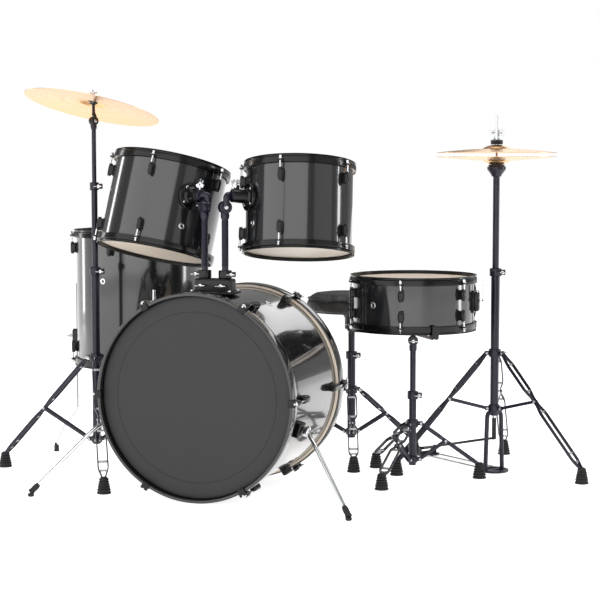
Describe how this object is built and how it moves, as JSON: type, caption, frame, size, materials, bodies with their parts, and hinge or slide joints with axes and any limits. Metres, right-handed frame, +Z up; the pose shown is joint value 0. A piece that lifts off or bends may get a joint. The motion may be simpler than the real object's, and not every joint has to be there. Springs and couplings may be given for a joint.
{
  "type": "acoustic drum kit",
  "caption": "Black acoustic drum kit: bass drum, rack toms, floor tom, snare, crash and hi-hat cymbals on folding stands, pedal and round throne.",
  "frame": {"origin": "middle of the kit's footprint, on the floor", "axes": "+Z up; +Y along the bass drum's axis from its front head towards the player; +X to the right as seen from the front"},
  "size_m": [1.7588, 1.1398, 1.153],
  "materials": {
    "shell_wrap": "gloss black plastic wrap over a wood shell",
    "front_head": "matt black drum head",
    "clear_head": "translucent cream drum head",
    "black_hoop": "gloss black enamel",
    "bass_hoop": "gloss black lacquer",
    "chrome_steel": "bright chrome",
    "black_coat": "black powder coat with a violet tint",
    "cast_black": "satin black paint on castings",
    "cymbal_brass": "lathed and polished brass",
    "seat_vinyl": "black vinyl over foam"
  },
  "bodies": {
    "kit_on_floor": {"bass_shell": "shell_wrap", "bass_front_head": "front_head", "bass_rear_head": "clear_head", "bass_front_hoop": "bass_hoop", "bass_rear_hoop": "bass_hoop", "tom_mount_bracket": "cast_black", "floor_tom_shell": "shell_wrap", "floor_tom_top_head": "clear_head", "floor_tom_bottom_head": "clear_head", "floor_tom_top_hoop": "black_hoop", "floor_tom_bottom_hoop": "black_hoop", "crash_stand_base": "black_coat", "snare_stand_base": "black_coat", "hihat_stand_base": "black_coat", "throne_base": "black_coat", "pedal_frame": "cast_black"},
    "spur_left": {"spur_left": "chrome_steel"},
    "spur_right": {"spur_right": "chrome_steel"},
    "tom_lock_left": {"tom_memory_lock_left": "cast_black"},
    "tom_post_left": {"tom_post_left": "black_coat"},
    "tom_arm_left": {"tom_arm_left": "black_coat"},
    "tom_left": {"tom_left_shell": "shell_wrap", "tom_left_top_head": "clear_head", "tom_left_bottom_head": "clear_head", "tom_left_top_hoop": "black_hoop", "tom_left_bottom_hoop": "black_hoop"},
    "tom_lock_right": {"tom_memory_lock_right": "cast_black"},
    "tom_post_right": {"tom_post_right": "black_coat"},
    "tom_arm_right": {"tom_arm_right": "black_coat"},
    "tom_right": {"tom_right_shell": "shell_wrap", "tom_right_top_head": "clear_head", "tom_right_bottom_head": "clear_head", "tom_right_top_hoop": "black_hoop", "tom_right_bottom_hoop": "black_hoop"},
    "floor_tom_leg_1": {"floor_tom_leg_1": "chrome_steel"},
    "floor_tom_leg_2": {"floor_tom_leg_2": "chrome_steel"},
    "floor_tom_leg_3": {"floor_tom_leg_3": "chrome_steel"},
    "crash_middle": {"crash_stand_middle_tube": "black_coat"},
    "crash_upper": {"crash_stand_upper_tube": "black_coat"},
    "crash_tilter": {"crash_tilter": "cast_black"},
    "crash": {"crash_cymbal": "cymbal_brass"},
    "snare_upper": {"snare_stand_upper_tube": "black_coat"},
    "snare": {"snare_basket": "black_coat", "snare_shell": "shell_wrap", "snare_top_head": "clear_head", "snare_bottom_head": "clear_head", "snare_top_hoop": "black_hoop", "snare_bottom_hoop": "black_hoop", "snare_wires": "chrome_steel"},
    "snare_lever": {"snare_throw_off_lever": "chrome_steel"},
    "hihat_upper": {"hihat_stand_upper_tube": "black_coat", "hihat_bottom_cymbal": "cymbal_brass"},
    "hihat_rod": {"hihat_pull_rod": "chrome_steel"},
    "hihat_clutch": {"hihat_clutch": "chrome_steel", "hihat_top_cymbal": "cymbal_brass"},
    "hihat_footboard": {"hihat_footboard": "cast_black"},
    "throne_post": {"throne_post": "black_coat"},
    "throne_seat": {"throne_seat": "seat_vinyl"},
    "pedal_footboard": {"pedal_footboard": "cast_black"},
    "pedal_beater": {"pedal_beater": "chrome_steel"}
  },
  "joints": [
    {"name": "spur_left_fold", "type": "hinge", "parent": "kit_on_floor", "child": "spur_left", "pos_m": [-0.39418, -0.41514, 0.20353], "axis": [0.7436, 0, -0.6686], "range_deg": [0, 32]},
    {"name": "spur_right_fold", "type": "hinge", "parent": "kit_on_floor", "child": "spur_right", "pos_m": [0.20265, -0.41514, 0.20353], "axis": [0.7436, 0, 0.6686], "range_deg": [0, 32]},
    {"name": "tom_left_swivel", "type": "hinge", "parent": "kit_on_floor", "child": "tom_lock_left", "pos_m": [-0.12676, -0.33614, 0.613], "axis": [0, 0, 1], "range_deg": [-4, 8]},
    {"name": "tom_left_height", "type": "slide", "parent": "tom_lock_left", "child": "tom_post_left", "axis": [0, 0, 1], "range_m": [-0.05, 0.015]},
    {"name": "tom_left_tilt", "type": "hinge", "parent": "tom_post_left", "child": "tom_arm_left", "pos_m": [-0.12676, -0.33614, 0.812], "axis": [-0.6494, -0.7604, 0], "range_deg": [-2, 12]},
    {"name": "tom_left_reach", "type": "slide", "parent": "tom_arm_left", "child": "tom_left", "axis": [-0.7644, 0.641, -0.0687], "range_m": [-0.006, 0.012]},
    {"name": "tom_right_swivel", "type": "hinge", "parent": "kit_on_floor", "child": "tom_lock_right", "pos_m": [-0.06476, -0.33614, 0.613], "axis": [0, 0, 1], "range_deg": [-20, 4]},
    {"name": "tom_right_height", "type": "slide", "parent": "tom_lock_right", "child": "tom_post_right", "axis": [0, 0, 1], "range_m": [-0.05, 0.03]},
    {"name": "tom_right_tilt", "type": "hinge", "parent": "tom_post_right", "child": "tom_arm_right", "pos_m": [-0.06476, -0.33614, 0.812], "axis": [-0.6921, 0.7218, 0], "range_deg": [-8, 12]},
    {"name": "tom_right_reach", "type": "slide", "parent": "tom_arm_right", "child": "tom_right", "axis": [0.7237, 0.6839, -0.0925], "range_m": [-0.006, 0.02]},
    {"name": "floor_tom_leg_1_height", "type": "slide", "parent": "kit_on_floor", "child": "floor_tom_leg_1", "axis": [0, 0, 1], "range_m": [-0.1, 0.06]},
    {"name": "floor_tom_leg_2_height", "type": "slide", "parent": "kit_on_floor", "child": "floor_tom_leg_2", "axis": [0, 0, 1], "range_m": [-0.1, 0.06]},
    {"name": "floor_tom_leg_3_height", "type": "slide", "parent": "kit_on_floor", "child": "floor_tom_leg_3", "axis": [0, 0, 1], "range_m": [-0.1, 0.06]},
    {"name": "crash_stand_lower_slide", "type": "slide", "parent": "kit_on_floor", "child": "crash_middle", "axis": [0, 0, 1], "range_m": [-0.02, 0.12]},
    {"name": "crash_stand_upper_slide", "type": "slide", "parent": "crash_middle", "child": "crash_upper", "axis": [0, 0, 1], "range_m": [-0.02, 0.08]},
    {"name": "crash_tilt", "type": "hinge", "parent": "crash_upper", "child": "crash_tilter", "pos_m": [-0.54884, -0.18014, 1.061], "axis": [-0.8782, 0.4783, 0], "range_deg": [-40, 3]},
    {"name": "crash_spin", "type": "hinge", "parent": "crash_tilter", "child": "crash", "pos_m": [-0.54884, -0.18014, 1.123], "axis": [0.1216, 0.2233, 0.9671], "continuous": true},
    {"name": "snare_height", "type": "slide", "parent": "kit_on_floor", "child": "snare_upper", "axis": [0, 0, 1], "range_m": [-0.08, 0.03]},
    {"name": "snare_tilt", "type": "hinge", "parent": "snare_upper", "child": "snare", "pos_m": [0.37324, 0.05986, 0.412], "axis": [0.3338, -0.9426, 0], "range_deg": [-8, 8]},
    {"name": "snare_throw_off", "type": "hinge", "parent": "snare", "child": "snare_lever", "pos_m": [0.57501, 0.07574, 0.534], "axis": [-0.0785, 0.9969, 0], "range_deg": [0, 80]},
    {"name": "hihat_height", "type": "slide", "parent": "kit_on_floor", "child": "hihat_upper", "axis": [0, 0, 1], "range_m": [-0.12, 0.04]},
    {"name": "hihat_pull", "type": "slide", "parent": "kit_on_floor", "child": "hihat_rod", "axis": [0, 0, 1], "range_m": [-0.009, 0], "stiffness_N_per_m": 1000, "springref_m": 0.04},
    {"name": "hihat_clutch_slide", "type": "slide", "parent": "hihat_rod", "child": "hihat_clutch", "axis": [0, 0, 1], "range_m": [-0.12, 0.04]},
    {"name": "hihat_footboard_press", "type": "hinge", "parent": "kit_on_floor", "child": "hihat_footboard", "pos_m": [0.31688, 0.44506, 0.026], "axis": [0.6018, 0.7986, 0], "range_deg": [0, 1.9]},
    {"name": "throne_height", "type": "slide", "parent": "kit_on_floor", "child": "throne_post", "axis": [0, 0, 1], "range_m": [-0.06, 0.08]},
    {"name": "throne_seat_spin", "type": "hinge", "parent": "throne_post", "child": "throne_seat", "pos_m": [0.09824, 0.32286, 0.468], "axis": [0, 0, 1], "continuous": true},
    {"name": "pedal_footboard_press", "type": "hinge", "parent": "kit_on_floor", "child": "pedal_footboard", "pos_m": [-0.09576, 0.28186, 0.026], "axis": [1, 0, 0], "range_deg": [0, 8], "stiffness_Nm_per_rad": 3, "springref_deg": -20.05},
    {"name": "pedal_beater_swing", "type": "hinge", "parent": "kit_on_floor", "child": "pedal_beater", "pos_m": [-0.09576, -0.01214, 0.178], "axis": [1, 0, 0], "range_deg": [0, 18]}
  ],
  "couplings": [
    {"joint": "hihat_footboard_press", "follows": "hihat_pull", "rad_per_m": -3.2},
    {"joint": "hihat_clutch_slide", "follows": "hihat_height", "ratio": 1},
    {"joint": "pedal_beater_swing", "follows": "pedal_footboard_press", "ratio": 2.25}
  ]
}
